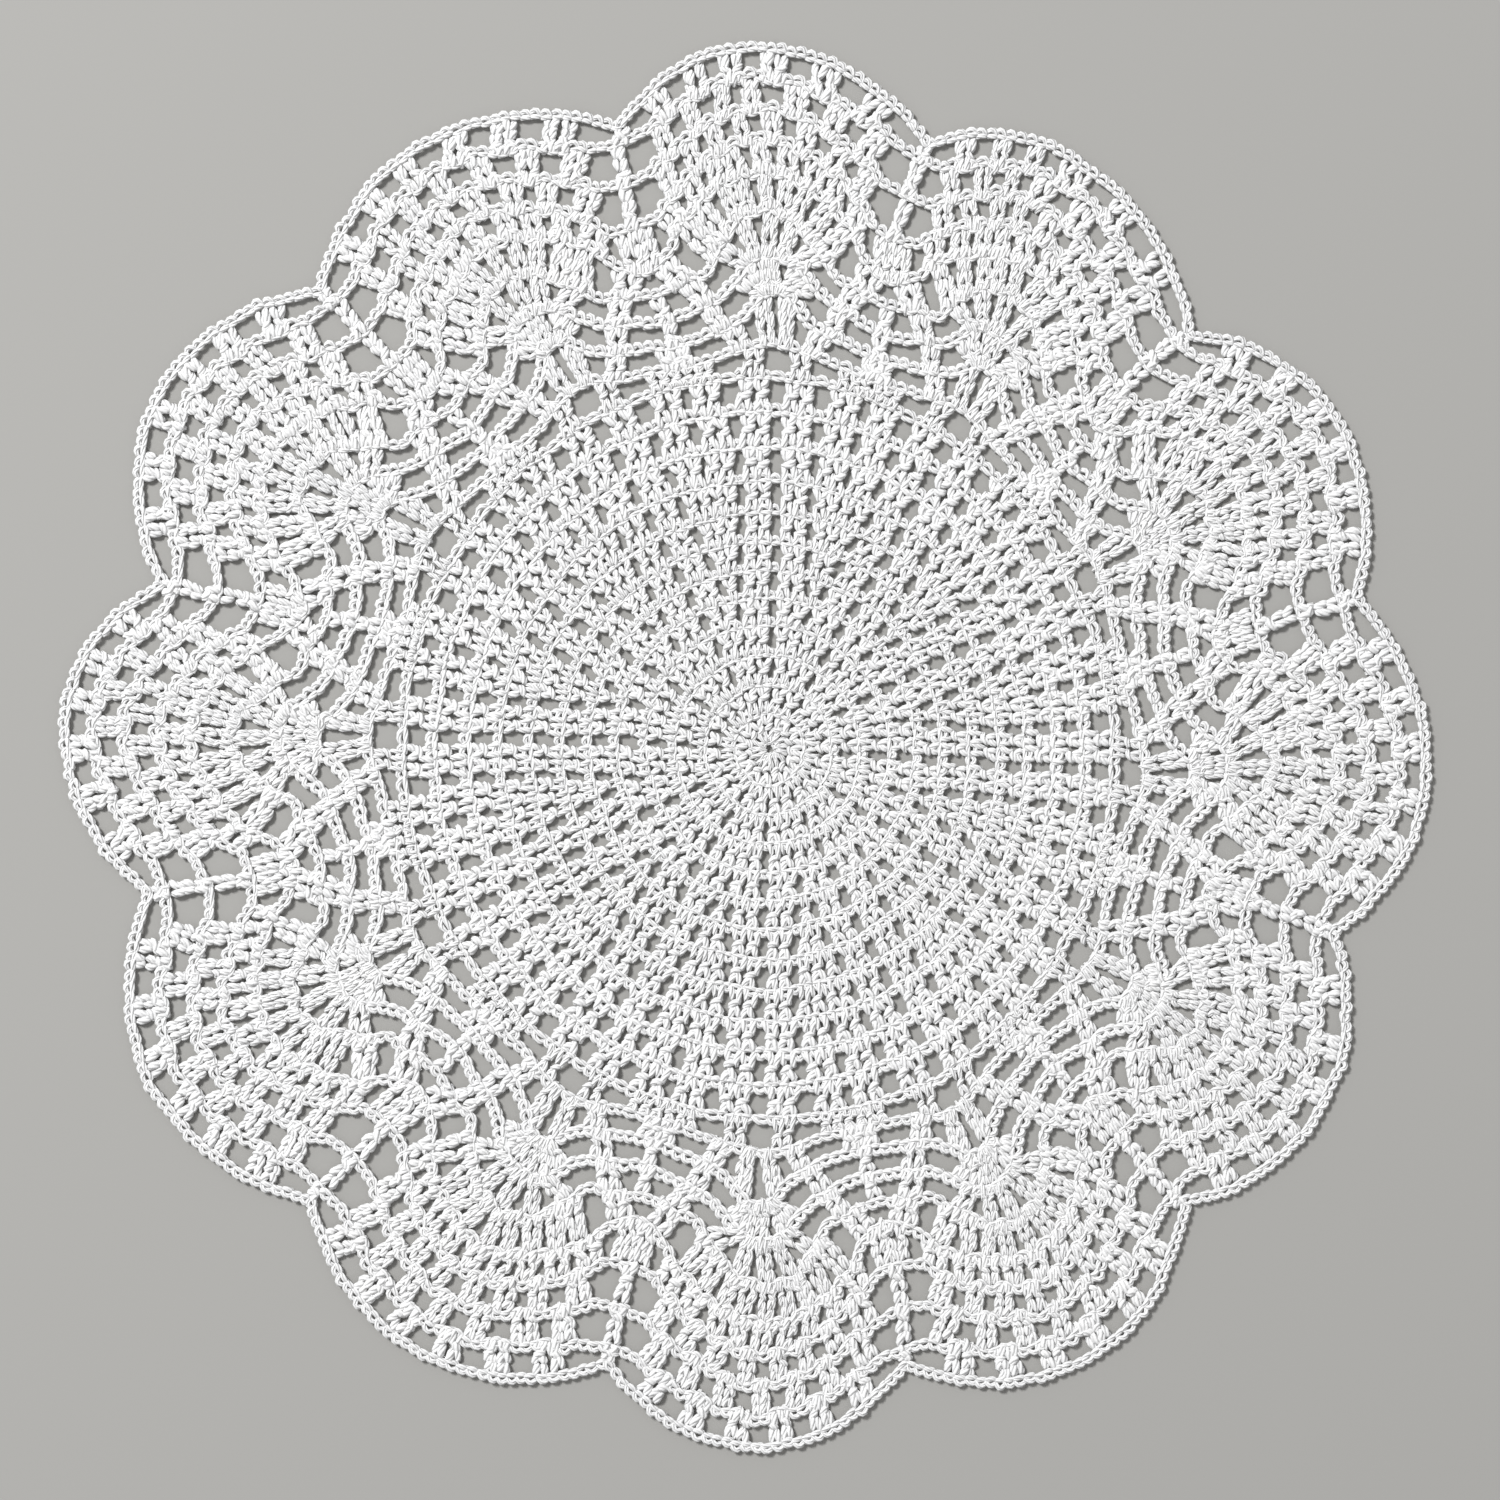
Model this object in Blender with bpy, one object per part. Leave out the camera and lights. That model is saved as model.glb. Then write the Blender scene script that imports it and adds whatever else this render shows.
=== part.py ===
"""A white crocheted cotton doily, lying flat: a round ground with twelve
spokes of small openings, inside twelve scalloped fans.

Units are metres, +Z is up and +Y is the side of the doily drawn uppermost.
The doily rests on Z = 0 and the origin is under the middle of its box.

The thing is one sheet of cloth. One repeat, a fan with its share of the
ground, is charted below at its nominal size. Each of the twelve repeats is
then pulled to its own spoke and scallop, because hand work is never even.
"""

import math
from collections import namedtuple

import bpy

NAME = "doily"

# Driving dimensions
THICKNESS = 0.0024          # two threads crossing
APEX_RADIUS = 0.1863        # nominal scallop tip, from the ground's centre
VALLEY_RADIUS = 0.1700      # nominal notch between two scallops
FOOT_RADIUS = 0.1029        # nominal large opening at the foot of each fan
FAN_ZONE_START = 0.108      # below this radius a repeat follows its spoke
WAIST_RADIUS = 0.1445       # halfway up the fan, where its axis is set once more
FAN_ZONE_END = 0.173        # above this radius a repeat follows its scallop
RIM_STEPS = 9               # straight lengths in half a scallop's edge
OCTAGON = 8                 # corners of the squarer openings
FLAT_SIDED = 0.5            # turns those by half a corner, to lie on a flat side
FAN_COUNT = 12
HALF_FAN = 180.0 / FAN_COUNT

# Finish
COTTON_WHITE = (0.86, 0.865, 0.85, 1.0)
COTTON_ROUGHNESS = 0.9

# One row for each fan, anticlockwise from +X. Angles are in degrees, lengths
# in metres: the large opening at the fan's foot, the fan's axis at its waist,
# the scallop's tip, and the notch on the fan's anticlockwise side.
Fan = namedtuple(
    "Fan", "foot_angle foot_radius waist_angle apex_angle apex_radius valley_angle valley_radius"
)
FANS = (
    Fan(-4.6, 0.0975, -2.2, -2.9, 0.1786, 14.0, 0.1640),
    Fan(27.4, 0.0961, 29.0, 29.2, 0.1774, 44.2, 0.1590),
    Fan(59.1, 0.0994, 61.7, 64.1, 0.1790, 75.1, 0.1680),
    Fan(88.7, 0.1031, 90.2, 91.5, 0.1887, 103.6, 0.1718),
    Fan(118.1, 0.1036, 119.2, 120.3, 0.1874, 134.7, 0.1720),
    Fan(148.1, 0.1026, 149.6, 149.4, 0.1904, 165.3, 0.1697),
    Fan(178.9, 0.1029, 179.5, 178.4, 0.1909, 193.7, 0.1722),
    Fan(209.2, 0.1040, 209.6, 209.3, 0.1909, 224.9, 0.1750),
    Fan(239.6, 0.1042, 240.4, 239.9, 0.1901, 255.4, 0.1737),
    Fan(268.6, 0.1056, 269.9, 269.3, 0.1906, 282.3, 0.1720),
    Fan(297.3, 0.1056, 297.7, 296.9, 0.1879, 312.2, 0.1677),
    Fan(325.6, 0.1006, 326.1, 325.3, 0.1798, 341.5, 0.1613),
)

# One row for each kind of opening in the repeat, largest kinds only. Angle
# is degrees from the fan's axis; a row off the axis is cut on both sides of
# it. Width runs along the round and height across it. Tilt turns the
# opening with its sloping round, lean shears it towards the fan's axis, and
# flare is how much wider its outer edge is than its inner edge.
Hole = namedtuple("Hole", "name angle radius width height tilt lean flare corners")
HOLES = (
    Hole("spoke", 0.0, 0.0945, 0.0054, 0.0064, 0, 0, 0.0, 6),
    Hole("foot", 0.0, 0.1029, 0.0074, 0.0068, 0, 0, 0.0, 8),
    Hole("wedge_low", 10.1, 0.1069, 0.0104, 0.0042, 8, 0, 0.1, 6),
    Hole("wedge_high", 12.1, 0.1131, 0.0098, 0.0046, 2, 0, 0.0, 6),
    Hole("flank_foot", 5.1, 0.1180, 0.0086, 0.0060, -8, 10, 0.2, 6),
    Hole("flank_low", 12.9, 0.1486, 0.0066, 0.0088, 0, -8, 0.0, 6),
    Hole("flank_high", 13.2, 0.1600, 0.0080, 0.0084, 4, -4, 0.1, 6),
    Hole("window_inner", 1.9, 0.1728, 0.0072, 0.0060, 5, 0, 0.2, 6),
    Hole("window_middle", 5.6, 0.1704, 0.0070, 0.0066, 13, 0, 0.2, 6),
    Hole("window_outer", 9.2, 0.1663, 0.0070, 0.0070, 21, 0, 0.2, 6),
    Hole("rim_centre", 0.0, 0.1804, 0.0096, 0.0050, 0, 0, 0.1, 6),
    Hole("rim_inner", 4.2, 0.1788, 0.0090, 0.0054, 10, 0, 0.1, 6),
    Hole("rim_outer", 8.3, 0.1752, 0.0088, 0.0058, 20, 0, 0.1, 6),
    Hole("rim_corner", 12.3, 0.1696, 0.0096, 0.0056, 30, 0, 0.0, 6),
)


def mix(start, end, share):
    return start + (end - start) * share


def smooth(low, high, value):
    """0 below low, 1 above high, and a smooth step between them."""
    share = min(max((value - low) / (high - low), 0.0), 1.0)
    return share * share * (3.0 - 2.0 * share)


def neighbour(index, side):
    """The next fan on a side (+1 is anticlockwise), its angles unwrapped."""
    fan = FANS[(index + side) % FAN_COUNT]
    turn = 360.0 * ((index + side) // FAN_COUNT)
    return fan._replace(
        foot_angle=fan.foot_angle + turn,
        waist_angle=fan.waist_angle + turn,
        apex_angle=fan.apex_angle + turn,
        valley_angle=fan.valley_angle + turn,
    )


def rim(apex, valley, share):
    """Radius of the scallop's edge: a parabola from its tip to its notch."""
    return apex - (apex - valley) * share * share


def place(index, angle, radius):
    """Where a point of the nominal repeat lies on fan number index."""
    fan = FANS[index]
    side = 1 if angle >= 0 else -1
    share = abs(angle) / HALF_FAN
    beside = neighbour(index, side)
    valley = fan if side > 0 else beside

    foot_angle = mix(fan.foot_angle, beside.foot_angle, share / 2)
    waist_angle = mix(fan.waist_angle, beside.waist_angle, share / 2)
    edge_angle = mix(fan.apex_angle, valley.valley_angle, share)
    turned = mix(foot_angle, waist_angle, smooth(FAN_ZONE_START, WAIST_RADIUS, radius))
    turned = math.radians(mix(turned, edge_angle, smooth(WAIST_RADIUS, FAN_ZONE_END, radius)))

    foot_scale = mix(fan.foot_radius, beside.foot_radius, share / 2) / FOOT_RADIUS
    edge_scale = rim(fan.apex_radius, valley.valley_radius, share)
    edge_scale /= rim(APEX_RADIUS, VALLEY_RADIUS, share)
    reach = radius * mix(foot_scale, edge_scale, smooth(FAN_ZONE_START, FAN_ZONE_END, radius))
    return (reach * math.cos(turned), reach * math.sin(turned))


def scalloped_edge():
    """The whole outline, one scallop after another, anticlockwise."""
    points = []
    for index in range(FAN_COUNT):
        for step in range(-RIM_STEPS, RIM_STEPS):
            share = step / RIM_STEPS
            radius = rim(APEX_RADIUS, VALLEY_RADIUS, abs(share))
            points.append(place(index, share * HALF_FAN, radius))
    return points


def opening(index, hole, side):
    """One opening: a squared-off ellipse, flared, leaned and tilted."""
    points = []
    first = FLAT_SIDED if hole.corners == OCTAGON else 0.0
    for corner in range(hole.corners):
        turn = 2 * math.pi * (corner + first) / hole.corners
        across = math.cos(turn) * hole.width / 2
        out = math.sin(turn) * hole.height / 2 / math.cos(math.pi / hole.corners)
        across *= 1 + hole.flare * out / hole.height
        across += out * math.tan(math.radians(hole.lean)) * -side
        tilt = math.radians(hole.tilt) * -side
        along = across * math.cos(tilt) - out * math.sin(tilt)
        away = across * math.sin(tilt) + out * math.cos(tilt)
        radius = hole.radius + away
        angle = side * hole.angle + math.degrees(along / radius)
        points.append(place(index, angle, radius))
    return points


def openings():
    for index in range(FAN_COUNT):
        for hole in HOLES:
            for side in ((1, -1) if hole.angle else (1,)):
                yield opening(index, hole, side)


def middle(points):
    xs = [point[0] for point in points]
    ys = [point[1] for point in points]
    return (min(xs) + max(xs)) / 2, (min(ys) + max(ys)) / 2


def add_loop(curve, points, centre):
    spline = curve.splines.new("POLY")
    spline.points.add(len(points) - 1)
    for target, (x, y) in zip(spline.points, points):
        target.co = (x - centre[0], y - centre[1], 0.0, 1.0)
    spline.use_cyclic_u = True


def cotton():
    material = bpy.data.materials.new("white_cotton")
    material.use_nodes = True
    shader = material.node_tree.nodes["Principled BSDF"]
    shader.inputs["Base Color"].default_value = COTTON_WHITE
    shader.inputs["Roughness"].default_value = COTTON_ROUGHNESS
    shader.inputs["Metallic"].default_value = 0.0
    return material


def build_doily(collection):
    curve = bpy.data.curves.new(NAME, "CURVE")
    curve.dimensions = "2D"
    curve.fill_mode = "BOTH"
    curve.extrude = THICKNESS / 2
    edge = scalloped_edge()
    centre = middle(edge)
    add_loop(curve, edge, centre)
    for points in openings():
        add_loop(curve, points, centre)
    curve.materials.append(cotton())
    doily = bpy.data.objects.new(NAME, curve)
    doily.location = (0.0, 0.0, THICKNESS / 2)
    collection.objects.link(doily)


def main():
    for old in list(bpy.data.objects):
        bpy.data.objects.remove(old, do_unlink=True)
    collection = bpy.data.collections.new("lace_doily")
    bpy.context.scene.collection.children.link(collection)
    build_doily(collection)


main()
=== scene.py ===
"""The looks of a white crocheted cotton doily: every stitch as thread.

Units are metres and degrees, +Z is up. The doily lies on Z = 0, in the frame
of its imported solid, and the camera looks straight down on it.

The doily is charted as one nominal repeat of 30 degrees, with rows of posts
(tall stitches) that stand between lines of chain. Each stitch is a few short
strands, swept into tubes. The twelve repeats are then pulled to their own
spokes and scallops, because hand work is never even.
"""

import math
from collections import namedtuple

import bpy
import numpy as np
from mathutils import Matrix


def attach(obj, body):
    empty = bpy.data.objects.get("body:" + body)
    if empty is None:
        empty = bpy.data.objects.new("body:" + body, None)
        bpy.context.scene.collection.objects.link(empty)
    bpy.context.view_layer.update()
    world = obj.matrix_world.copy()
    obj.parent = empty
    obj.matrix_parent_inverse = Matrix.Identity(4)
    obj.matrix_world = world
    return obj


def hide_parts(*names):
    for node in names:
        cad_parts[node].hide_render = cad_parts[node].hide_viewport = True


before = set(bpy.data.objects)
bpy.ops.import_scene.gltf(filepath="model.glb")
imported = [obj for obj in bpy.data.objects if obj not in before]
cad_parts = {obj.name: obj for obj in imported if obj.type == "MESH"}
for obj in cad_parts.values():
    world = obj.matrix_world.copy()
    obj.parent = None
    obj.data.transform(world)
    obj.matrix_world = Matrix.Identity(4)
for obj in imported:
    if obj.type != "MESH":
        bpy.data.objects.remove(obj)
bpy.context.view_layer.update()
MM = 0.001
SEED = 12
TINY = 1e-9                     # keeps a vector without length from being divided by 0
random = np.random.default_rng(SEED)

# ------------------------------------------------ the repeats and their pull

FANS_ROUND = 12
REPEAT = 360.0 / FANS_ROUND
HALF_REPEAT = REPEAT / 2
APEX_RADIUS = 0.1863            # nominal scallop tip
VALLEY_RADIUS = 0.1700          # nominal notch between two scallops
FOOT_RADIUS = 0.1029            # nominal large opening at the foot of a fan
SPOKE_RADIUS = 0.0524           # nominal spoke opening halfway out
RIM_STEPS = 9                   # straight lengths in half a scallop of the solid
SPOKE_ZONE = (0.0524, 0.1000)   # here a repeat turns from its spoke to its foot,
WAIST_ZONE = (0.1080, 0.1445)   # here from its foot to its fan's waist,
EDGE_ZONE = (0.1445, 0.1730)    # here from the waist to its scallop,
SCALE_ZONE = (0.1080, 0.1730)   # and here it takes on the scallop's size
CENTRE_SHIFT = (0.0005, -0.0015)    # the first ring lies off the middle,
CENTRE_ZONE = (0.0050, 0.0450)      # and the rounds come back to it over this stretch

# One row for each repeat, anticlockwise from +X.
Fan = namedtuple(
    "Fan",
    "spoke_angle spoke_radius foot_angle foot_radius waist_angle "
    "apex_angle apex_radius valley_angle valley_radius",
)
FANS = (
    Fan(-5.3, 0.0510, -4.6, 0.0975, -2.2, -2.9, 0.1786, 14.0, 0.1640),
    Fan(25.5, 0.0502, 27.4, 0.0961, 29.0, 29.2, 0.1774, 44.2, 0.1590),
    Fan(57.5, 0.0497, 59.1, 0.0994, 61.7, 64.1, 0.1790, 75.1, 0.1680),
    Fan(88.0, 0.0505, 88.7, 0.1031, 90.2, 91.5, 0.1887, 103.6, 0.1718),
    Fan(118.0, 0.0510, 118.1, 0.1036, 119.2, 120.3, 0.1874, 134.7, 0.1720),
    Fan(148.0, 0.0516, 148.1, 0.1026, 149.6, 149.4, 0.1904, 165.3, 0.1697),
    Fan(179.0, 0.0521, 178.9, 0.1029, 179.5, 178.4, 0.1909, 193.7, 0.1722),
    Fan(210.0, 0.0521, 209.2, 0.1040, 209.6, 209.3, 0.1909, 224.9, 0.1750),
    Fan(240.0, 0.0540, 239.6, 0.1042, 240.4, 239.9, 0.1901, 255.4, 0.1737),
    Fan(268.3, 0.0545, 268.6, 0.1056, 269.9, 269.3, 0.1906, 282.3, 0.1720),
    Fan(296.5, 0.0537, 297.3, 0.1056, 297.7, 296.9, 0.1879, 312.2, 0.1677),
    Fan(325.0, 0.0524, 325.6, 0.1006, 326.1, 325.3, 0.1798, 341.5, 0.1613),
)


def mix(start, end, share):
    return start + (end - start) * share


def smooth(zone, value):
    """0 below the zone, 1 above it, and a smooth step inside it."""
    share = np.clip((value - zone[0]) / (zone[1] - zone[0]), 0.0, 1.0)
    return share * share * (3.0 - 2.0 * share)


def column(name, index):
    """A column of FANS at whole numbers, its angles unwrapped past a turn."""
    values = np.array([getattr(fan, name) for fan in FANS])[np.mod(index, FANS_ROUND)]
    turn = 360.0 * np.floor_divide(index, FANS_ROUND)
    return values + turn if name.endswith("angle") else values


def rim(apex, valley, share):
    """Radius of the scallop's edge: a parabola from its tip to its notch."""
    return apex - (apex - valley) * share * share


def pull(angle, radius):
    """Where points of the nominal doily really lie, about the ground's centre."""
    index = np.floor(angle / REPEAT + 0.5).astype(int)
    offset = angle - index * REPEAT
    side = np.where(offset >= 0, 1, -1)
    share = np.abs(offset) / HALF_REPEAT
    notch = np.where(side > 0, index, index - 1)

    def between(name):
        return mix(column(name, index), column(name, index + side), share / 2)

    edge_angle = mix(column("apex_angle", index), column("valley_angle", notch), share)
    turned = mix(between("spoke_angle"), between("foot_angle"), smooth(SPOKE_ZONE, radius))
    turned = mix(turned, between("waist_angle"), smooth(WAIST_ZONE, radius))
    turned = np.radians(mix(turned, edge_angle, smooth(EDGE_ZONE, radius)))

    edge = rim(column("apex_radius", index), column("valley_radius", notch), share)
    scale = mix(
        between("spoke_radius") / SPOKE_RADIUS,
        between("foot_radius") / FOOT_RADIUS,
        smooth(SPOKE_ZONE, radius),
    )
    edge_scale = edge / rim(APEX_RADIUS, VALLEY_RADIUS, share)
    reach = radius * mix(scale, edge_scale, smooth(SCALE_ZONE, radius))
    stay = 1.0 - smooth(CENTRE_ZONE, radius)
    return np.stack(
        (
            reach * np.cos(turned) + CENTRE_SHIFT[0] * stay,
            reach * np.sin(turned) + CENTRE_SHIFT[1] * stay,
        ),
        axis=-1,
    )


def solid_centre():
    """The middle of the scalloped edge, which is the solid's origin."""
    share = np.tile(np.arange(-RIM_STEPS, RIM_STEPS) / RIM_STEPS, FANS_ROUND)
    index = np.repeat(np.arange(FANS_ROUND), 2 * RIM_STEPS)
    radius = rim(APEX_RADIUS, VALLEY_RADIUS, share)
    edge = pull(index * REPEAT + share * HALF_REPEAT, radius)
    return (edge.min(axis=0) + edge.max(axis=0)) / 2


CENTRE = solid_centre()


def place(angle, radius):
    angle, radius = np.broadcast_arrays(np.asarray(angle, float), np.asarray(radius, float))
    return pull(angle, radius) - CENTRE


# --------------------------------------------------------------- the chart

# The ground's rounds from the middle out, each with the radii of the chains
# that its posts stand between. The chart is one repeat, from its spoke: S is
# the spoke's opening, H another opening, h a narrow one and T a post. The
# openings' widths are given, and the posts share what is left. Soft posts are
# wider than their spacing, by the crowding. Link is the size of the links of
# the upper chain.
Round = namedtuple("Round", "lower upper repeats chart spoke hole narrow crowding link")
CENTRE_RING = 0.0016            # radius of the starting ring
CENTRE_LINKS = 6
CENTRE_LINK_SIZE = 0.6
GROUND = (
    Round(CENTRE_RING, 0.0100, 15, "T", 0, 0, 0, 1.10, 0.95),
    Round(0.0100, 0.0178, 12, "STT", 0.0002, 0, 0, 1.10, 0.95),
    Round(0.0178, 0.0258, 12, "STTT", 0.0010, 0, 0, 1.10, 0.95),
    Round(0.0258, 0.0337, 12, "STTTT", 0.0015, 0, 0, 1.10, 0.95),
    Round(0.0337, 0.0411, 12, "STTHTT", 0.0020, 0.0012, 0, 1.10, 0.95),
    Round(0.0411, 0.0486, 12, "STTHTHTT", 0.0021, 0.0014, 0, 1.10, 0.95),
    Round(0.0486, 0.0564, 12, "STTHTTHTT", 0.0022, 0.0018, 0, 1.10, 0.95),
    Round(0.0564, 0.0644, 12, "STTHTTTHTT", 0.0023, 0.0019, 0, 1.10, 0.95),
    Round(0.0644, 0.0727, 12, "STTHTTTTHTT", 0.0024, 0.0018, 0, 1.10, 0.95),
    Round(0.0727, 0.0813, 12, "STTHTThTTHTT", 0.0026, 0.0021, 0.0009, 1.18, 1.20),
    Round(0.0813, 0.0901, 12, "STTHTTHTTHTT", 0.0028, 0.0024, 0.0020, 1.18, 1.20),
    Round(0.0901, 0.0986, 12, "STTHTThTTHTT", 0.0039, 0.0041, 0.0019, 1.18, 1.00),
    Round(0.0986, "fan_1", 12, "STTHTTTTTTHTT", 0.0066, 0.0080, 0, 1.08, 1.00),
)

# The fans' chains: radius in millimetres, at angles from the fan's axis.
CHAIN_ANGLES = (0, 1.5, 3, 4.5, 6, 7.5, 9, 10.5, 12, 13.5, 15)
CHAINS = {
    "fan_1": (107.7, 107.5, 107.1, 106.4, 105.6, 104.9, 104.5, 104.2, 104.0, 103.8, 103.7),
    "fan_2": (121.5, 120.7, 117.2, 114.5, 112.9, 112.1, 111.2, 110.7, 110.3, 110.0, 109.9),
    "fan_3": (131.2, 130.8, 129.1, 124.9, 121.9, 119.9, 119.5, 118.3, 117.2, 116.6, 116.4),
    "fan_4": (142.8, 142.3, 140.4, 137.7, 132.8, 128.3, 127.0, 126.1, 125.1, 124.2, 123.7),
    "fan_5": (152.8, 152.4, 151.2, 149.6, 147.7, 145.3, 142.3, 138.2, 133.9, 131.5, 130.1),
    "fan_6": (160.7, 160.7, 159.3, 157.8, 155.8, 153.6, 150.9, 147.2, 143.6, 142.8, 142.6),
    "fan_7": (169.0, 168.8, 167.8, 166.5, 164.6, 162.5, 160.5, 158.2, 155.3, 154.3, 153.9),
    "fan_8": (177.4, 177.3, 176.3, 175.1, 173.6, 171.9, 169.8, 167.8, 165.9, 165.1, 164.8),
}
RIM_INSET = 0.0013              # the last chain's middle lies inside the edge
CHAIN_PITCH = 2.75 * MM         # one link of a chain
LARGE_LINKS = {"fan_2": 1.15, "fan_3": 1.15}    # the size of links where it isn't 1

# The fans' posts, in groups: the angles of their feet on the lower chain and
# of their heads on the upper one. A group off the axis is worked on both sides,
# and one on the seam between two fans once.
Group = namedtuple("Group", "lower upper feet heads")
GROUPS = (
    Group("fan_1", "fan_2", (0.85, 1.85), (1.45, 2.6)),
    Group("fan_1", "fan_2", (4.6, 6.0), (6.0, 7.4)),
    Group("fan_1", "fan_2", (13.4,), (13.4,)),
    Group("fan_1", "fan_2", (15.0,), (15.0,)),
    Group("fan_2", "fan_3", (-0.5, 0.0, 0.5), (-0.95, 0.0, 0.95)),
    Group("fan_2", "fan_3", (1.0, 1.2, 1.5), (2.8, 3.8, 4.8)),
    Group("fan_2", "fan_3", (6.7, 8.0), (8.2, 9.5)),
    Group("fan_2", "fan_3", (15.0,), (15.0,)),
    Group("fan_3", "fan_4", (-0.45, 0.45), (-0.40, 0.40)),
    Group("fan_3", "fan_4", (1.2, 2.0), (2.8, 3.6)),
    Group("fan_3", "fan_4", (2.5, 3.3), (5.8, 6.6)),
    Group("fan_3", "fan_4", (8.5, 9.8), (10.1, 11.5)),
    Group("fan_3", "fan_4", (15.0,), (15.0,)),
    Group("fan_4", "fan_5", (-0.42, 0.42), (-0.35, 0.35)),
    Group("fan_4", "fan_5", (1.25, 2.05), (2.3, 3.0)),
    Group("fan_4", "fan_5", (2.85, 3.65), (4.5, 5.2)),
    Group("fan_4", "fan_5", (4.45, 5.25), (6.85, 7.55)),
    Group("fan_4", "fan_5", (6.0, 6.85), (9.4, 10.1)),
    Group("fan_4", "fan_5", (10.7, 12.1), (12.4, 13.8)),
    Group("fan_5", "fan_6", (-0.62, 0.62), (-0.35, 0.35)),
    Group("fan_5", "fan_6", (2.05, 3.2), (2.4, 3.1)),
    Group("fan_5", "fan_6", (4.3, 5.4), (5.0, 5.7)),
    Group("fan_5", "fan_6", (6.65, 7.8), (7.7, 8.4)),
    Group("fan_5", "fan_6", (9.25, 10.45), (10.5, 11.4)),
    Group("fan_5", "fan_6", (13.3, 14.45), (13.4, 14.5)),
    Group("fan_6", "fan_7", (1.05, 1.9), (1.34, 2.16)),
    Group("fan_6", "fan_7", (3.6, 4.45), (4.54, 5.36)),
    Group("fan_6", "fan_7", (6.25, 7.1), (7.59, 8.41)),
    Group("fan_6", "fan_7", (9.25, 10.15), (10.7, 11.65)),
    Group("fan_6", "fan_7", (15.0,), (15.0,)),
    Group("fan_7", "fan_8", (-0.42, 0.42), (-0.43, 0.43)),
    Group("fan_7", "fan_8", (3.0, 3.85), (3.29, 4.16)),
    Group("fan_7", "fan_8", (6.05, 6.9), (6.99, 7.86)),
    Group("fan_7", "fan_8", (9.25, 10.2), (10.75, 11.7)),
    Group("fan_7", "fan_8", (15.0,), (15.0,)),
    Group("fan_8", "rim", (1.4, 2.4), (1.70, 2.70)),
    Group("fan_8", "rim", (5.1, 6.1), (5.80, 6.80)),
    Group("fan_8", "rim", (8.9, 9.95), (10.2, 11.3)),
    Group("fan_8", "rim", (15.0,), (15.0,)),
)

LOBE = 0.8 * MM                 # a fan's chain rises over heads and dips between them,
LOBES_END = (11.1, 12.8)        # dies down between these angles from the axis,
EVEN_CHAINS = ("fan_1", "fan_2", "fan_3")   # and these chains don't rise and dip at all


def lobes(chain, offset):
    """The rise and fall of a fan's chain, from 1 over its groups' heads to -1."""
    heads = sorted({sum(group.heads) / len(group.heads) for group in GROUPS if group.upper == chain})
    turns = 2 * math.pi * np.arange(1, len(heads) + 1)
    if heads[0] > 0:            # no head on the axis, so a dip there
        heads, turns = (0, *heads), (math.pi, *turns)
    wave = np.cos(np.interp(offset, heads, turns))
    return wave * (1 - smooth(LOBES_END, offset))


def chain_radius(chain, angle):
    """A chain's nominal radius: a circle in the ground, a wave in the fans."""
    offset = np.abs(np.mod(angle + HALF_REPEAT, REPEAT) - HALF_REPEAT)
    if chain == "rim":
        return rim(APEX_RADIUS, VALLEY_RADIUS, offset / HALF_REPEAT) - RIM_INSET
    if chain in CHAINS:
        radius = np.interp(offset, CHAIN_ANGLES, CHAINS[chain]) * MM
        return radius if chain in EVEN_CHAINS else radius + LOBE * lobes(chain, offset)
    return np.full(np.shape(angle), chain)


# ------------------------------------------------------- stitches of thread

SIDES = 4                       # of a strand, smoothly shaded
THREAD_HALF = (0.92 * MM, 0.38 * MM)    # the soft thread lies flat: half width, half height
SOFTNESS = 0.55                 # how far up a strand's fuzz turns the light on its sides
END_TAPER = 0.56                # a strand thins to this where it dips under
HALF_POST = (1.05 * MM, 2.42 * MM)  # least and most half width of a post
LONE_POST = 2.40 * MM           # half width of a post without a neighbour
FAN_CROWDING = 1.18             # how much wider the fans' posts are than their spacing
GROUND_FULL = 2.07 * MM         # half width of a ground post with thread of natural width,
FAN_FULL = 1.60 * MM            # and of a fan's post. In other posts the thread
SQUEEZE = (0.66, 1.20)          # is squeezed or relaxed, to these shares at most
TALL_POST = 9.6 * MM            # a longer post than this has one more tier
STRAY = 0.13 * MM               # how far a stitch strays from its place
RIPPLE = 0.10 * MM              # height of each wave that moves the whole work
RIPPLE_WAVES = 6
RIPPLE_LENGTHS = (0.014, 0.030)     # the shortest and the longest of them
FOOT_OVER = 0.5 * MM            # how far a fan's post reaches over its lower chain
BOW = 0.15                      # posts of a group bulge out between their ends
ROUNDING = 0.30                 # and lie lower on the group's outer side
LEAN = 0.25                     # how far a stitch leans, in half widths
GROUP_LEAN = 0.22               # and a group of the fans' posts, in degrees

# How unlike each other the stitches are, as the spread of random draws.
STRAY_ACROSS = 0.09             # a strand's points stray across a post, in half widths
SLIP_UP = 0.03                  # a strand slips up or down a post, in its heights,
STRAY_UP = 0.012                # and so does each of its points
POST_LIFT = 0.06                # share of a strand's height above the table
LINK_SPREAD = 0.12              # share of a link's width
LINK_LIFT = 0.05                # share of a link's height above the table
ARCH_RANGE = (0.4, 1.6)         # least and most share of a link's arch
PLY_START = 0.01                # a strand's plies start anywhere over this length

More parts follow.
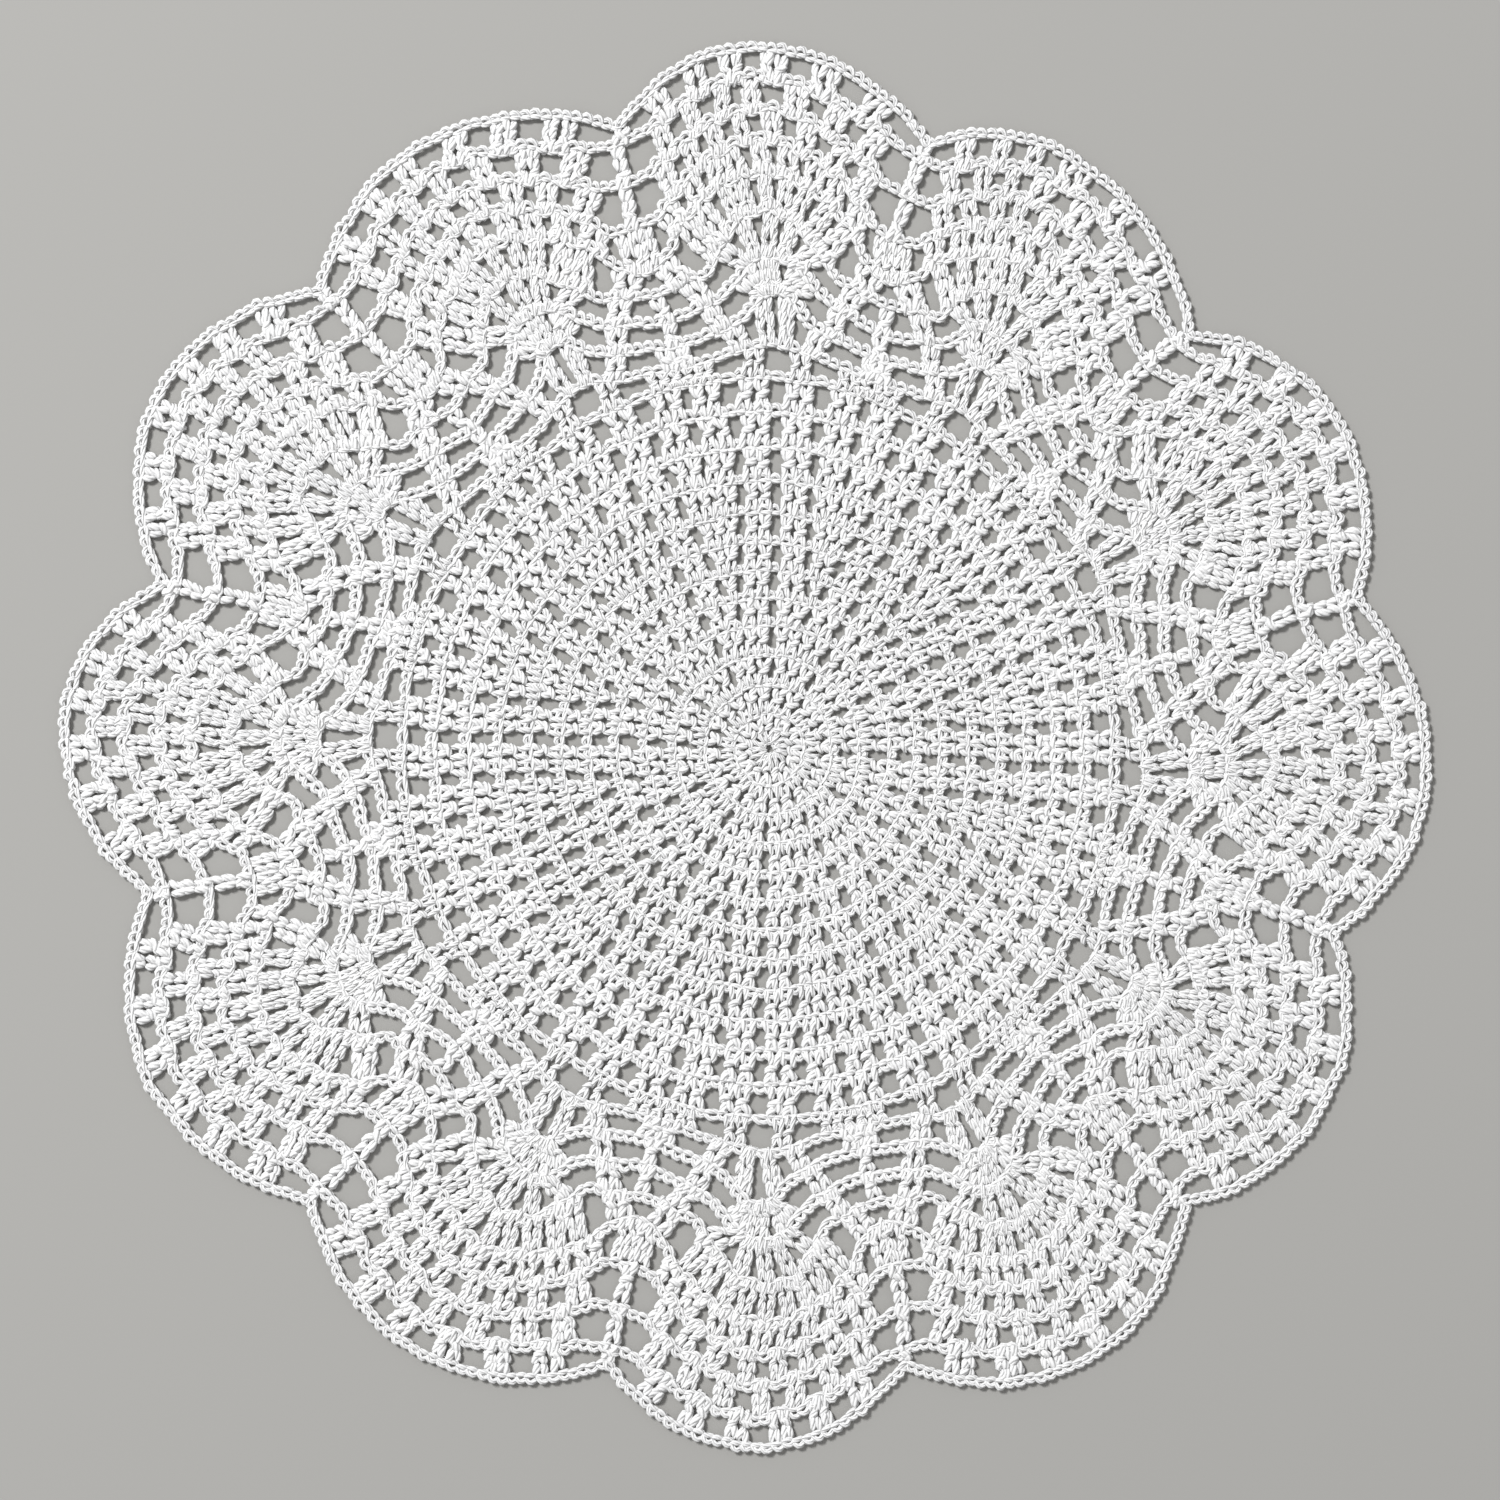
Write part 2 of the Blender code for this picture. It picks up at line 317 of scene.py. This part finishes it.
# The strands of a post of the ground and of the fans: x across it in half
# widths, y up it, z in millimetres. Each has a number of rings and a width.
Strand = namedtuple("Strand", "rings width points")
GROUND_POST = (
    Strand(5, 1.0, ((0.20, 0.50, 0.80), (-0.15, 0.62, 1.50), (-0.45, 0.76, 1.60), (-0.60, 0.93, 1.00))),
    Strand(5, 1.0, ((0.00, 0.56, 0.80), (0.30, 0.68, 1.45), (0.52, 0.80, 1.55), (0.58, 0.94, 0.95))),
    Strand(5, 0.9, ((-0.73, -0.05, 1.05), (-0.61, 0.08, 1.85), (-0.50, 0.29, 1.52), (-0.60, 0.48, 0.90))),
    Strand(5, 0.9, ((0.71, -0.05, 1.05), (0.56, 0.07, 1.85), (0.40, 0.25, 1.48), (0.30, 0.43, 0.80))),
    Strand(5, 1.0, ((-0.66, 0.42, 0.80), (-0.15, 0.44, 1.55), (0.35, 0.50, 1.60), (0.76, 0.62, 0.90))),
)
PETAL_OPENS = (0.0, 0.45, 0.85, 1.0)        # how far its points are on their way across,
PETAL_RISES = (0.0, 0.30, 0.66, 1.0)        # and on their way up
WRAP_ACROSS = (-0.66, -0.15, 0.35, 0.72)    # in half widths
WRAP_HEIGHTS = (0.80, 1.55, 1.60, 0.90)     # in millimetres


def tier(low, high, root, tip, heights):
    """Two petals of thread side by side, from low to high up a post."""
    across = [mix(root, tip, share) for share in PETAL_OPENS]
    up = [mix(low, high, share) for share in PETAL_RISES]
    return tuple(
        Strand(5, 1.0, tuple((side * x, y, z) for x, y, z in zip(across, up, heights)))
        for side in (-1, 1)
    )


def wrap(*up):
    """A strand that winds across a post."""
    return Strand(5, 1.0, tuple(zip(WRAP_ACROSS, up, WRAP_HEIGHTS)))


LEGS = (0.55, 0.38, (0.70, 1.85, 1.55, 0.90))       # legs grip the chain below and close in,
PETALS = (0.15, 0.56, (0.80, 1.45, 1.58, 0.90))     # and petals open out
FAN_POST = (
    *tier(-0.07, 0.44, *LEGS),
    wrap(0.34, 0.37, 0.44, 0.56),
    *tier(0.46, 0.92, *PETALS),
)
TALL_FAN_POST = (
    *tier(-0.05, 0.34, *LEGS),
    wrap(0.26, 0.28, 0.33, 0.42),
    *tier(0.34, 0.66, *PETALS),
    *tier(0.60, 0.93, *PETALS),
)

# A chain link's strand, and its mirror image: along it in links, across it in
# half widths, z in millimetres.
LINK_STRAND = Strand(6, 0.80, (
    (-0.12, 0.10, 1.00), (0.15, 0.60, 1.45), (0.50, 0.95, 1.50), (0.85, 0.80, 1.25),
    (1.12, 0.30, 0.80),
))
HALF_LINK = 0.98 * MM           # half width of a link of size 1, before its arch
LINK_ARCH = 0.45 * MM           # both strands of a link bow outwards
NUDGE = 0.05                    # degrees ahead on a chain, where its direction is taken


def spread(count, points):
    """The weights that draw a smooth line of count points through others."""
    at = np.linspace(0, points - 1, count)
    first = np.clip(at.astype(int), 0, points - 2)
    t = at - first
    weights = np.zeros((count, points))
    cubic = (
        -0.5 * t + t**2 - 0.5 * t**3,
        1 - 2.5 * t**2 + 1.5 * t**3,
        0.5 * t + 2 * t**2 - 1.5 * t**3,
        -0.5 * t**2 + 0.5 * t**3,
    )
    rows = np.arange(count)
    for shift, part in zip((-1, 0, 1, 2), cubic):
        np.add.at(weights, (rows, np.clip(first + shift, 0, points - 1)), part)
    return weights


def ripple(points):
    """A slow wander of the whole work, the same for all that lies together."""
    waves = np.random.default_rng(SEED + 1)
    moved = np.zeros_like(points[..., :2])
    for _ in range(RIPPLE_WAVES):
        turn, phase_x, phase_y = waves.uniform(0, 2 * math.pi, 3)
        length = waves.uniform(*RIPPLE_LENGTHS)
        along = (points[..., 0] * math.cos(turn) + points[..., 1] * math.sin(turn)) / length
        moved[..., 0] += np.sin(2 * math.pi * along + phase_x)
        moved[..., 1] += np.sin(2 * math.pi * along + phase_y)
    points[..., :2] += moved * RIPPLE
    return points


class Threads:
    """The strands of one mesh, kept as runs of the same number of rings.

    A strand's points have x, y, z and the thread's width there, 1 by nature.
    """

    def __init__(self, name):
        self.name = name
        self.runs = []

    def add(self, strand, points, tint):
        paths = np.einsum("rp,npc->nrc", spread(strand.rings, points.shape[1]), ripple(points))
        self.runs.append((paths[..., :3], paths[..., 3] * strand.width, tint))

    def build(self, material):
        """One mesh of all the strands, each a closed tube with smooth shading."""
        corners, faces, sizes, uvs, tints = [], [], [], [], []
        start = 0
        for paths, width, tint in self.runs:
            strands, rings = paths.shape[:2]
            corners.append(tube_corners(paths, width).reshape(-1, 3))
            for run_faces, run_uvs in tube_faces(paths):
                faces.append(run_faces.ravel() + start)
                sizes.append(np.full(len(run_faces), run_faces.shape[1]))
                uvs.append(run_uvs)
            tints.append(np.repeat(tint, rings * SIDES))
            start += strands * rings * SIDES
        parts = (np.concatenate(part) for part in (corners, faces, sizes, uvs, tints))
        return mesh_object(self.name, *parts, material)


def unit(vectors):
    return vectors / np.maximum(np.linalg.norm(vectors, axis=-1, keepdims=True), TINY)


def tube_corners(paths, width):
    rings = paths.shape[1]
    ahead = unit(np.gradient(paths, axis=1))
    across = unit(np.cross(ahead, (0.0, 0.0, 1.0)))[:, :, None]
    above = np.cross(across, ahead[:, :, None])
    plump = np.sqrt(np.maximum(np.sin(np.linspace(0, math.pi, rings)), 0))
    taper = mix(END_TAPER, 1.0, plump)[None, :, None, None]
    turn = 2 * math.pi * np.arange(SIDES)[:, None] / SIDES + math.pi / 2
    wide = width[..., None, None] * THREAD_HALF[0]
    ring = across * np.cos(turn) * wide + above * np.sin(turn) * THREAD_HALF[1]
    return paths[:, :, None] + ring * taper


def tube_faces(paths):
    """Quads round every strand and a face over each end, with lengthwise UVs."""
    strands, rings = paths.shape[:2]
    length = np.linalg.norm(np.diff(paths, axis=1), axis=2).cumsum(axis=1)
    length = np.concatenate((np.zeros((strands, 1)), length), axis=1)
    length += random.uniform(0, PLY_START, (strands, 1))
    first = (np.arange(strands) * rings * SIDES)[:, None, None]
    ring, side = np.meshgrid(np.arange(rings - 1), np.arange(SIDES), indexing="ij")
    beside = (side + 1) % SIDES
    quads = (ring * SIDES + side, (ring + 1) * SIDES + side,
             (ring + 1) * SIDES + beside, ring * SIDES + beside)
    quads = np.stack(quads, axis=-1).reshape(-1, 4)
    at_ring = np.stack((ring, ring + 1, ring + 1, ring), axis=-1).reshape(-1, 4)
    turned = np.stack((side, side, side + 1, side + 1), axis=-1).reshape(-1, 4) / SIDES
    yield (quads + first).reshape(-1, 4), thread_uvs(length, at_ring, turned)
    ends = np.stack((np.arange(SIDES), (rings - 1) * SIDES + np.arange(SIDES)[::-1]))
    at_ring = np.repeat([[0], [rings - 1]], SIDES, axis=1)
    yield (ends + first).reshape(-1, SIDES), thread_uvs(length, at_ring, np.zeros((2, SIDES)))


def thread_uvs(length, at_ring, turned):
    """U is the length of thread, V the share of a turn round it."""
    turned = np.broadcast_to(turned, (len(length), *turned.shape))
    return np.stack((length[:, at_ring], turned), axis=-1).reshape(-1, 2)


def mesh_object(name, corners, faces, sizes, uvs, tints, material):
    mesh = bpy.data.meshes.new(name)
    mesh.vertices.add(len(corners))
    mesh.vertices.foreach_set("co", corners.ravel())
    mesh.loops.add(faces.size)
    mesh.loops.foreach_set("vertex_index", faces.ravel())
    mesh.polygons.add(len(sizes))
    mesh.polygons.foreach_set("loop_start", np.cumsum(sizes) - sizes)
    mesh.polygons.foreach_set("use_smooth", np.ones(len(sizes), bool))
    mesh.uv_layers.new(name="thread").data.foreach_set("uv", uvs.ravel())
    mesh.attributes.new("tint", "FLOAT", "POINT").data.foreach_set("value", tints)
    mesh.update(calc_edges=True)
    normals = np.empty(corners.size)
    mesh.vertices.foreach_get("normal", normals)
    normals = unit(normals.reshape(-1, 3) + (0.0, 0.0, SOFTNESS))
    mesh.normals_split_custom_set_from_vertices(normals.tolist())
    mesh.materials.append(material)
    thing = bpy.data.objects.new(name, mesh)
    bpy.context.scene.collection.objects.link(thing)
    return thing


def work_posts(threads, post, feet, heads, half_widths, full, bows=0.0, hands=(1.0,)):
    """Posts from feet to heads, x and y each, with a half width at either end.

    A bow is how far a post swings aside at half its height, x and y. With two
    hands, a post may be the mirror image of its neighbour.
    """
    bows = np.broadcast_to(bows, feet.shape)[:, None]
    count = len(feet)
    feet = feet + random.normal(0, STRAY, feet.shape)
    heads = heads + random.normal(0, STRAY, heads.shape)
    up = heads - feet
    across = unit(np.stack((up[:, 1], -up[:, 0]), axis=-1))
    outer_side = np.sign((bows[:, 0] * across).sum(axis=1, keepdims=True))
    tint = random.uniform(0, 1, count)
    hand = random.choice(hands, (count, 1))
    lean = random.normal(0, LEAN, (count, 1))
    for strand in post:
        chart = np.array(strand.points)
        x = chart[:, 0] * hand + random.normal(0, STRAY_ACROSS, (count, len(chart)))
        y = chart[:, 1] + random.normal(0, SLIP_UP, (count, 1)) + random.normal(0, STRAY_UP, x.shape)
        x += lean * (y - 0.5)
        outward = np.clip(x * outer_side, 0, 1)
        z = chart[:, 2] * random.normal(1, POST_LIFT, (count, 1)) * (1 - ROUNDING * outward) * MM
        wide = mix(half_widths[:, :1], half_widths[:, 1:], y)
        flat = feet[:, None] + up[:, None] * y[..., None] + across[:, None] * (x * wide)[..., None]
        flat = flat + bows * np.sin(math.pi * y)[..., None]
        width = np.clip(wide / full, *SQUEEZE)
        threads.add(strand, np.concatenate((flat, z[..., None], width[..., None]), axis=-1), tint)


def work_chain(threads, chain, angles, size=1.0):
    """Links of chain between neighbours in a run of nominal angles."""
    first, step = angles[:-1], np.diff(angles)
    count = len(first)
    tint = random.uniform(0, 1, count)
    stray = random.normal(0, STRAY, (count, 1, 2))
    arch = LINK_ARCH * random.uniform(*ARCH_RANGE, (count, 1))
    chart = np.array(LINK_STRAND.points)
    for mirror in (1, -1):
        at = first[:, None] + step[:, None] * chart[:, 0]
        middle = place(at, chain_radius(chain, at))
        ahead = place(at + NUDGE, chain_radius(chain, at + NUDGE)) - middle
        out = unit(np.stack((ahead[..., 1], -ahead[..., 0]), axis=-1))
        wide = HALF_LINK * size * mirror * chart[:, 1] * random.normal(1, LINK_SPREAD, (count, 1))
        wide += arch * np.sin(math.pi * np.clip(chart[:, 0], 0, 1))
        flat = middle + stray + out * wide[..., None]
        z = chart[:, 2] * random.normal(1, LINK_LIFT, (count, 1)) * MM
        width = np.full_like(z, size)
        points = np.concatenate((flat, z[..., None], width[..., None]), axis=-1)
        threads.add(LINK_STRAND, points, tint)


def cell_edges(row, radius, nominal):
    """The angles between a round's cells at a radius, in degrees.

    Posts and openings are as wide at their heads as at their feet, so that they
    slant towards the spoke. The posts between the two wide openings take up what
    is left, or all the posts where a chart hasn't just two of those.
    """
    opening = {"S": row.spoke, "H": row.hole, "h": row.narrow}
    repeat = 2 * math.pi / row.repeats
    even = (repeat * nominal - sum(opening.get(cell, 0) for cell in row.chart)) / row.chart.count("T")
    widths = np.array([opening.get(cell, even) for cell in row.chart])
    middle = [i for i, cell in enumerate(row.chart) if cell == "T"]
    if row.chart.count("H") == 2:
        middle = [i for i in middle if row.chart.index("H") < i < row.chart.rindex("H")]
    widths[middle] += (repeat * radius - widths.sum()) / len(middle)
    edges = np.concatenate(([0.0], np.cumsum(widths))) - widths[0] / 2
    return np.degrees(edges / radius)


def work_round(threads, row):
    """One round of the ground, from its chart, with the chain on its heads."""
    high = np.mean(chain_radius(row.upper, np.arange(0, REPEAT)))
    nominal = (row.lower + high) / 2
    low_edges, high_edges = cell_edges(row, row.lower, nominal), cell_edges(row, high, nominal)
    posts = np.array([i for i, cell in enumerate(row.chart) if cell == "T"])
    turns = np.arange(row.repeats)[:, None] * 360.0 / row.repeats
    ends, halves = [], []
    for edges, radius in ((low_edges, row.lower), (high_edges, high)):
        ends.append((turns + (edges[posts] + edges[posts + 1]) / 2).ravel())
        half = np.radians(edges[posts + 1] - edges[posts]) * radius / 2
        halves.append(np.tile(np.clip(half * row.crowding, *HALF_POST), row.repeats))
    feet, heads = place(ends[0], row.lower), place(ends[1], chain_radius(row.upper, ends[1]))
    work_posts(threads, GROUND_POST, feet, heads, np.stack(halves, axis=-1), GROUND_FULL)
    links = np.maximum(1, np.round(np.radians(np.diff(high_edges)) * high / CHAIN_PITCH)).astype(int)
    steps = [np.linspace(high_edges[i], high_edges[i + 1], n, endpoint=False) for i, n in enumerate(links)]
    for turn in turns[:, 0]:
        work_chain(threads, row.upper, turn + np.concatenate((*steps, high_edges[-1:])), row.link)


FINE_STEP = 0.1                 # degrees, to measure along a chain


def sector_of(fans):
    """The nominal angles between which some neighbouring fans lie."""
    return fans[0] * REPEAT - HALF_REPEAT, fans[-1] * REPEAT + HALF_REPEAT


def steps_over(sector, step):
    """Angles at even steps over a sector, with both its ends."""
    return np.arange(sector[0], sector[1] + step / 2, step)


def even_links(chain, sector):
    """Nominal angles at even steps along a chain, over a sector."""
    fine = steps_over(sector, FINE_STEP)
    along = place(fine, chain_radius(chain, fine))
    length = np.concatenate(([0.0], np.linalg.norm(np.diff(along, axis=0), axis=1).cumsum()))
    links = max(1, round(length[-1] / CHAIN_PITCH))
    return np.interp(np.linspace(0, length[-1], links + 1), length, fine)


def group_posts(group, side, turn):
    """The feet and heads of one group of posts, their half widths and bows."""
    feet_at, heads_at = turn + side * np.array((group.feet, group.heads))
    heads_at = heads_at + random.normal(0, GROUP_LEAN)
    feet = place(feet_at, chain_radius(group.lower, feet_at))
    heads = place(heads_at, chain_radius(group.upper, heads_at))
    between = (feet + heads) / 2
    if len(feet_at) == 1:
        widths = np.full((1, 2), LONE_POST)
    else:
        up = unit((heads - feet).mean(axis=0))
        apart = np.diff(np.stack((feet, heads)), axis=1).mean(axis=1)
        spacing = np.abs(apart[:, 0] * up[1] - apart[:, 1] * up[0])
        widths = np.tile(np.clip(spacing / 2 * FAN_CROWDING, *HALF_POST), (len(feet_at), 1))
    bows = (between - between.mean(axis=0)) * BOW
    return feet - unit(heads - feet) * FOOT_OVER, heads, widths, bows


def work_fans(threads, fans):
    """Some neighbouring fans, from their posts and chains."""
    posts = []
    for fan in fans:
        turn = fan * REPEAT
        for group in GROUPS:
            on_axis = sum(group.feet) == 0
            on_seam = group.feet == (HALF_REPEAT,)
            for side in (1,) if on_axis or on_seam else (1, -1):
                posts.append(group_posts(group, side, turn))
    feet, heads, widths, bows = (np.concatenate(part) for part in zip(*posts))
    tall = np.linalg.norm(heads - feet, axis=1) > TALL_POST
    for post, kind in ((FAN_POST, ~tall), (TALL_FAN_POST, tall)):
        work_posts(threads, post, feet[kind], heads[kind], widths[kind], FAN_FULL, bows[kind], (1.0, -1.0))
    for chain in (*list(CHAINS)[1:], "rim"):    # the first one belongs to the ground
        work_chain(threads, chain, even_links(chain, sector_of(fans)), LARGE_LINKS.get(chain, 1.0))


# ------------------------------------------------------------- the finish

COTTON = (0.90, 0.90, 0.90, 1.0)
COTTON_SHADE = (0.82, 0.82, 0.83, 1.0)
TINT_SHARE = 0.5                # a stitch is this much towards the shade at most
PLIES = 3
PLY_PITCH = 2.6 * MM            # along the thread, from one ply to the next
PLY_RELIEF = 0.38 * MM
FIBRE_GRAIN = 0.96 * MM         # the coarsest of the noise
FIBRE_DETAIL = 3.0              # octaves of finer noise
FIBRE_RELIEF = 0.6              # as a share of the plies' relief
RELIEF_STRENGTH = 0.8
COTTON_FINISH = {
    "Roughness": 0.85,
    "Specular IOR Level": 0.12,
    "Sheen Weight": 0.05,
    "Sheen Roughness": 0.5,
}


def math_node(tree, operation, *inputs):
    node = tree.nodes.new("ShaderNodeMath")
    node.operation = operation
    for socket, value in zip(node.inputs, inputs):
        if isinstance(value, (int, float)):
            socket.default_value = value
        else:
            tree.links.new(value, socket)
    return node.outputs[0]


def cotton_thread():
    material = bpy.data.materials.new("cotton_thread")
    material.use_nodes = True
    tree = material.node_tree
    shader = tree.nodes["Principled BSDF"]
    link = tree.links.new

    # Plies wind round the thread.
    split = tree.nodes.new("ShaderNodeSeparateXYZ")
    link(tree.nodes.new("ShaderNodeUVMap").outputs["UV"], split.inputs[0])
    winding = math_node(tree, "MULTIPLY", split.outputs["Y"], float(PLIES))
    along = math_node(tree, "MULTIPLY", split.outputs["X"], 1 / PLY_PITCH)
    phase = math_node(tree, "ADD", winding, along)
    ply = math_node(tree, "SINE", math_node(tree, "MULTIPLY", phase, math.pi))
    ply = math_node(tree, "ABSOLUTE", ply)

    # Fibres stand in its surface.
    where = tree.nodes.new("ShaderNodeTexCoord").outputs["Object"]
    fibres = tree.nodes.new("ShaderNodeTexNoise")
    fibres.inputs["Scale"].default_value = 1 / FIBRE_GRAIN
    fibres.inputs["Detail"].default_value = FIBRE_DETAIL
    link(where, fibres.inputs["Vector"])
    fuzz = math_node(tree, "MULTIPLY", fibres.outputs["Fac"], FIBRE_RELIEF)
    bump = tree.nodes.new("ShaderNodeBump")
    bump.inputs["Distance"].default_value = PLY_RELIEF
    bump.inputs["Strength"].default_value = RELIEF_STRENGTH
    link(math_node(tree, "ADD", ply, fuzz), bump.inputs["Height"])
    link(bump.outputs["Normal"], shader.inputs["Normal"])

    # Each stitch has its own slight tint.
    tint = tree.nodes.new("ShaderNodeAttribute")
    tint.attribute_name = "tint"
    colour = tree.nodes.new("ShaderNodeMix")
    colour.data_type = "RGBA"
    colour.inputs["A"].default_value = COTTON
    colour.inputs["B"].default_value = COTTON_SHADE
    link(math_node(tree, "MULTIPLY", tint.outputs["Fac"], TINT_SHARE), colour.inputs["Factor"])
    link(colour.outputs["Result"], shader.inputs["Base Color"])

    for name, value in COTTON_FINISH.items():
        shader.inputs[name].default_value = value
    return material


# ------------------------------------------------------------- the pieces

INNER_ROUNDS = 9                # the ground is made in two pieces, the fans in four
FANS_A_PIECE = 3
CHAIN_EDGE = 1.3 * MM           # a chain's outer side, from its middle
WHOLE_TURN = (-HALF_REPEAT, 360 - HALF_REPEAT)
OUTLINE_STEP = 0.5              # degrees


def outline(chain, sector, inset=0.0):
    """Points along a chain, moved inwards by the inset."""
    angle = steps_over(sector, OUTLINE_STEP)
    return place(angle, chain_radius(chain, angle) - inset)


def flat_cut(outer, inner=None):
    """The width, length and area of the sheet between two outlines."""
    edge = outer if inner is None else np.concatenate((outer, inner[::-1]))
    x, y = edge.T
    area = abs(np.dot(x, np.roll(y, -1)) - np.dot(y, np.roll(x, -1))) / 2
    return tuple(np.ptp(outer, axis=0)), area


def add_piece(threads, cotton, flat, area):
    """One sheet of the threads, built and attached to the root. Its flat size and area are not used."""
    piece = threads.build(cotton)
    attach(piece, "root")
    return piece


def make_ground(cotton):
    """The ground's inner and outer rounds, the inner with the starting ring."""
    inner = Threads("lace_ground_inner")
    work_chain(inner, CENTRE_RING, np.linspace(0, 360, CENTRE_LINKS + 1), CENTRE_LINK_SIZE)
    for row in GROUND[:INNER_ROUNDS]:
        work_round(inner, row)
    outer = Threads("lace_ground_outer")
    for row in GROUND[INNER_ROUNDS:]:
        work_round(outer, row)
    seam = GROUND[INNER_ROUNDS].lower
    inner_piece = add_piece(inner, cotton, *flat_cut(outline(seam, WHOLE_TURN, -CHAIN_EDGE)))
    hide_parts("doily")
    outer_edge = outline("fan_1", WHOLE_TURN, -CHAIN_EDGE)
    add_piece(outer, cotton, *flat_cut(outer_edge, outline(seam, WHOLE_TURN)))


def make_fans(cotton):
    """The fans, three neighbours to a piece."""
    for start in range(0, FANS_ROUND, FANS_A_PIECE):
        fans = range(start, start + FANS_A_PIECE)
        threads = Threads(f"lace_fans_{start // FANS_A_PIECE + 1}")
        work_fans(threads, fans)
        outer_edge = outline("rim", sector_of(fans), -CHAIN_EDGE)
        inner_edge = outline("fan_1", sector_of(fans), FOOT_OVER)
        add_piece(threads, cotton, *flat_cut(outer_edge, inner_edge))


# ------------------------------------------------- floor, light and camera

FLOOR_COLOUR = (0.38, 0.375, 0.36, 1.0)
FLOOR_ROUGHNESS = 0.9
FLOOR_SIZE = 40.0
LENS = 85.0
SENSOR = 36.0
VIEW_WIDTH = 0.405              # what the camera sees of the floor
VIEW_CENTRE = (0.00135, -0.0008)
SKY_COLOUR = (1.0, 1.0, 1.0, 1.0)
SKY_STRENGTH = 0.44
KEY_PLACE = (-1.8, 1.8, 2.6)    # over the doily's upper left, as the camera sees it
KEY_SIZE = 1.0
KEY_POWER = 134.0


def make_floor():
    mesh = bpy.data.meshes.new("floor")
    half = FLOOR_SIZE / 2
    mesh.from_pydata(
        [(-half, -half, 0), (half, -half, 0), (half, half, 0), (-half, half, 0)],
        [], [(0, 1, 2, 3)],
    )
    material = bpy.data.materials.new("floor")
    material.use_nodes = True
    shader = material.node_tree.nodes["Principled BSDF"]
    shader.inputs["Base Color"].default_value = FLOOR_COLOUR
    shader.inputs["Roughness"].default_value = FLOOR_ROUGHNESS
    mesh.materials.append(material)
    floor = bpy.data.objects.new("floor", mesh)
    bpy.context.scene.collection.objects.link(floor)


def make_light():
    """A round lamp that faces the origin."""
    lamp = bpy.data.lights.new("key", "AREA")
    lamp.shape = "DISK"
    lamp.size = KEY_SIZE
    lamp.energy = KEY_POWER
    light = bpy.data.objects.new("key", lamp)
    light.location = KEY_PLACE
    bpy.context.scene.collection.objects.link(light)
    x, y, z = KEY_PLACE
    light.rotation_euler = (math.atan2(math.hypot(x, y), z), 0.0, math.atan2(-y, -x) - math.pi / 2)


def make_camera():
    lens = bpy.data.cameras.new("camera")
    lens.lens = LENS
    lens.sensor_width = SENSOR
    camera = bpy.data.objects.new("camera", lens)
    camera.location = (*VIEW_CENTRE, VIEW_WIDTH * LENS / SENSOR)
    bpy.context.scene.collection.objects.link(camera)
    bpy.context.scene.camera = camera


def make_sky():
    """Even light from all round, and plain colours."""
    bpy.context.scene.view_settings.view_transform = "Standard"
    world = bpy.data.worlds.new("studio")
    bpy.context.scene.world = world
    world.use_nodes = True
    background = world.node_tree.nodes["Background"]
    background.inputs["Color"].default_value = SKY_COLOUR
    background.inputs["Strength"].default_value = SKY_STRENGTH


white_cotton = cotton_thread()
make_ground(white_cotton)
make_fans(white_cotton)
make_floor()
make_camera()
make_sky()
make_light()
